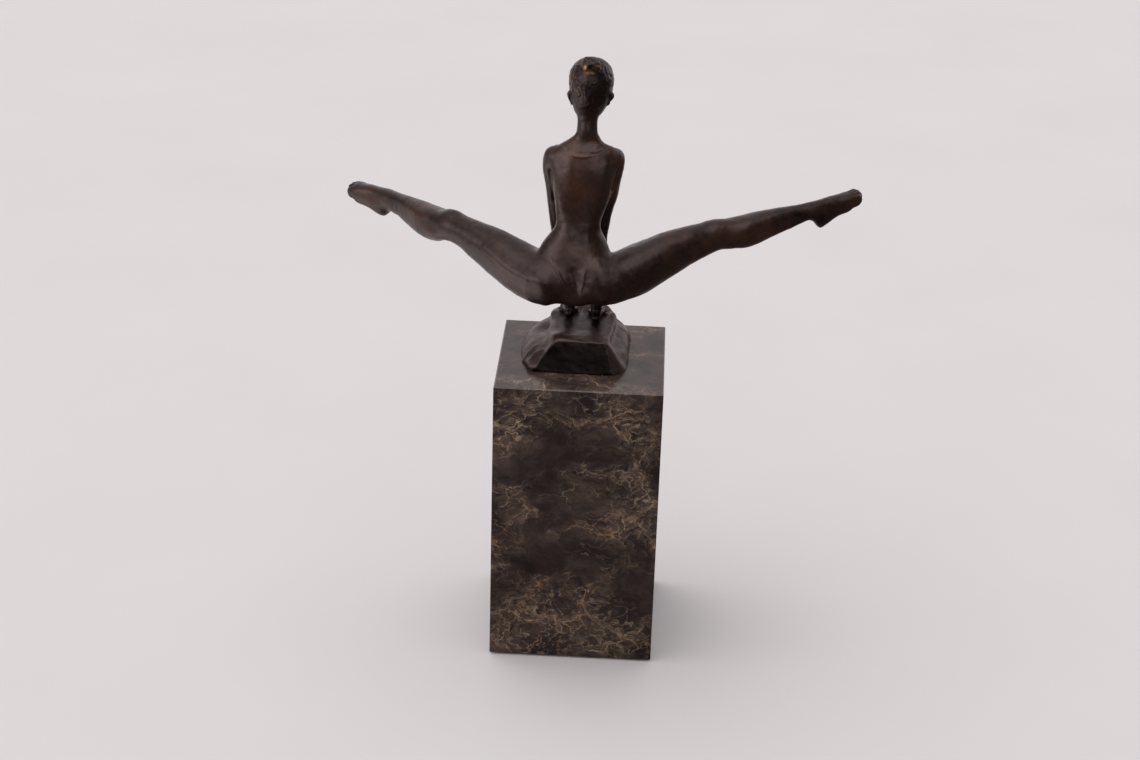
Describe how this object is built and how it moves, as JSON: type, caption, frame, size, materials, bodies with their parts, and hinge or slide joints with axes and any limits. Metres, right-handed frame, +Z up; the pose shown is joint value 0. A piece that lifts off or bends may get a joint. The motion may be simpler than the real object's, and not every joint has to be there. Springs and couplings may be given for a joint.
{
  "type": "bronze statuette",
  "caption": "Gymnast figurine held up on straight arms with the legs spread, cast in bronze on a rock and bolted to a tall square stone plinth.",
  "frame": {"origin": "centre of the felt pad's underside, below the middle of the plinth", "axes": "+Z up; the figure faces -Y, so its left arm and leg are on +X and its back is on +Y"},
  "size_m": [0.3271, 0.1657, 0.3673],
  "materials": {
    "bronze": "waxed dark brown patina",
    "stone": "polished dark brown marble with pale veins",
    "steel": "zinc plated",
    "felt": "wool felt"
  },
  "bodies": {
    "root": {"felt_pad": "felt", "plinth": "stone", "fixing_stud": "steel", "fixing_washer": "steel", "fixing_nut": "steel", "rock": "bronze", "hand_pins": "bronze", "torso": "bronze", "head": "bronze", "arm_left": "bronze", "arm_right": "bronze", "leg_left": "bronze", "leg_right": "bronze"}
  },
  "joints": []
}
